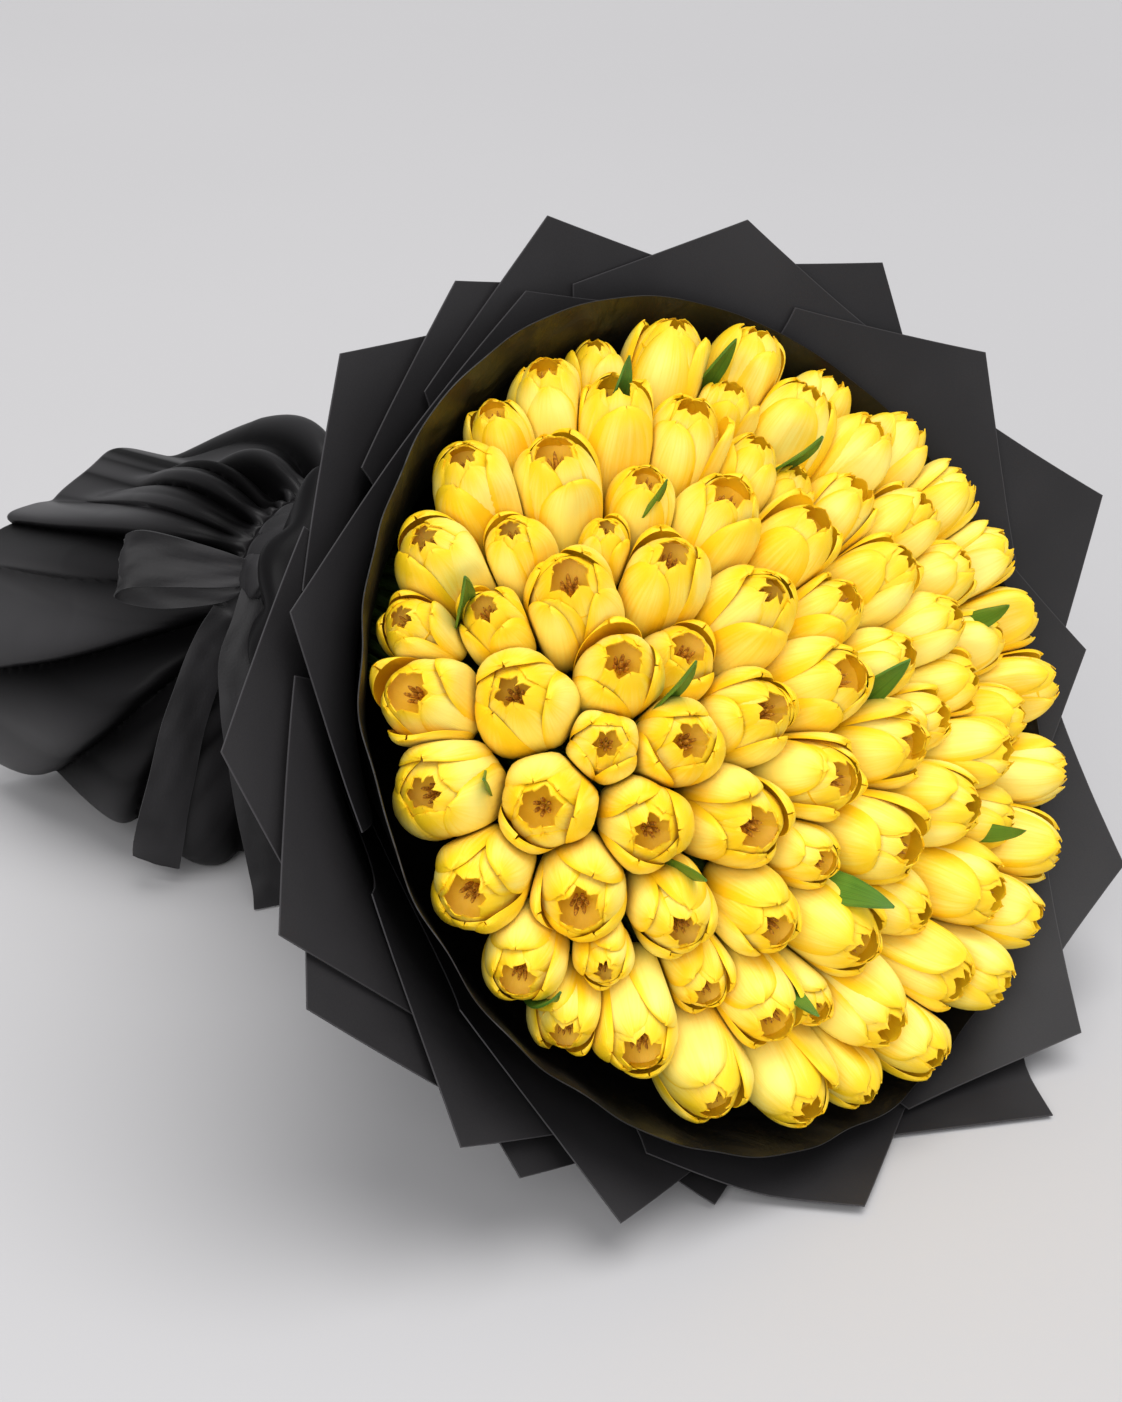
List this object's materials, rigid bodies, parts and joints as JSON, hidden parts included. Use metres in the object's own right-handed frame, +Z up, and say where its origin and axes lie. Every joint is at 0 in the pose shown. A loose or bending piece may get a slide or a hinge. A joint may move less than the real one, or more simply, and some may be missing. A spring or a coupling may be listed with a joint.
{
  "type": "wrapped flower bouquet",
  "caption": "Bunch of yellow tulips tied at the neck and wrapped in layered black paper with a ribbon, lying on its side",
  "frame": {"origin": "centre of the bounding box's bottom, on the surface that the bunch lies on", "axes": "+X along the bunch from the gathered tail to the flower face, +Y to the face's right as seen from the flowers' front, +Z up"},
  "size_m": [0.5965, 0.4628, 0.3645],
  "materials": {
    "petals": "soft waxy petals, clear yellow with paler streaks",
    "greenery": "fresh green leaves and stems, faintly waxy",
    "lining": "thin dark crinkled lining, half glossy",
    "paper": "matte black wrapping paper",
    "ribbon": "soft black ribbon, slightly satin"
  },
  "bodies": {
    "root": {"blooms_01": "petals", "blooms_02": "petals", "blooms_03": "petals", "blooms_04": "petals", "blooms_05": "petals", "blooms_06": "petals", "blooms_07": "petals", "blooms_08": "petals", "blooms_09": "petals", "blooms_10": "petals", "blooms_11": "petals", "blooms_12": "petals", "blooms_13": "petals", "blooms_14": "petals", "blooms_15": "petals", "blooms_16": "petals", "blooms_17": "petals", "blooms_18": "petals", "blooms_19": "petals", "blooms_20": "petals", "blooms_21": "petals", "blooms_22": "petals", "blooms_23": "petals", "blooms_24": "petals", "blooms_25": "petals", "blooms_26": "petals", "blooms_27": "petals", "blooms_28": "petals", "blooms_29": "petals", "stems_and_leaves": "greenery", "lining": "lining", "paper_01": "paper", "paper_02": "paper", "paper_03": "paper", "paper_04": "paper", "paper_05": "paper", "paper_06": "paper", "paper_07": "paper", "paper_08": "paper", "paper_09": "paper", "paper_10": "paper", "paper_11": "paper", "paper_12": "paper", "paper_13": "paper", "paper_14": "paper", "paper_15": "paper", "paper_16": "paper", "paper_17": "paper", "paper_18": "paper", "paper_19": "paper", "paper_20": "paper", "outer_wrap": "paper", "ribbon_band": "ribbon", "ribbon_bow": "ribbon"}
  },
  "joints": []
}
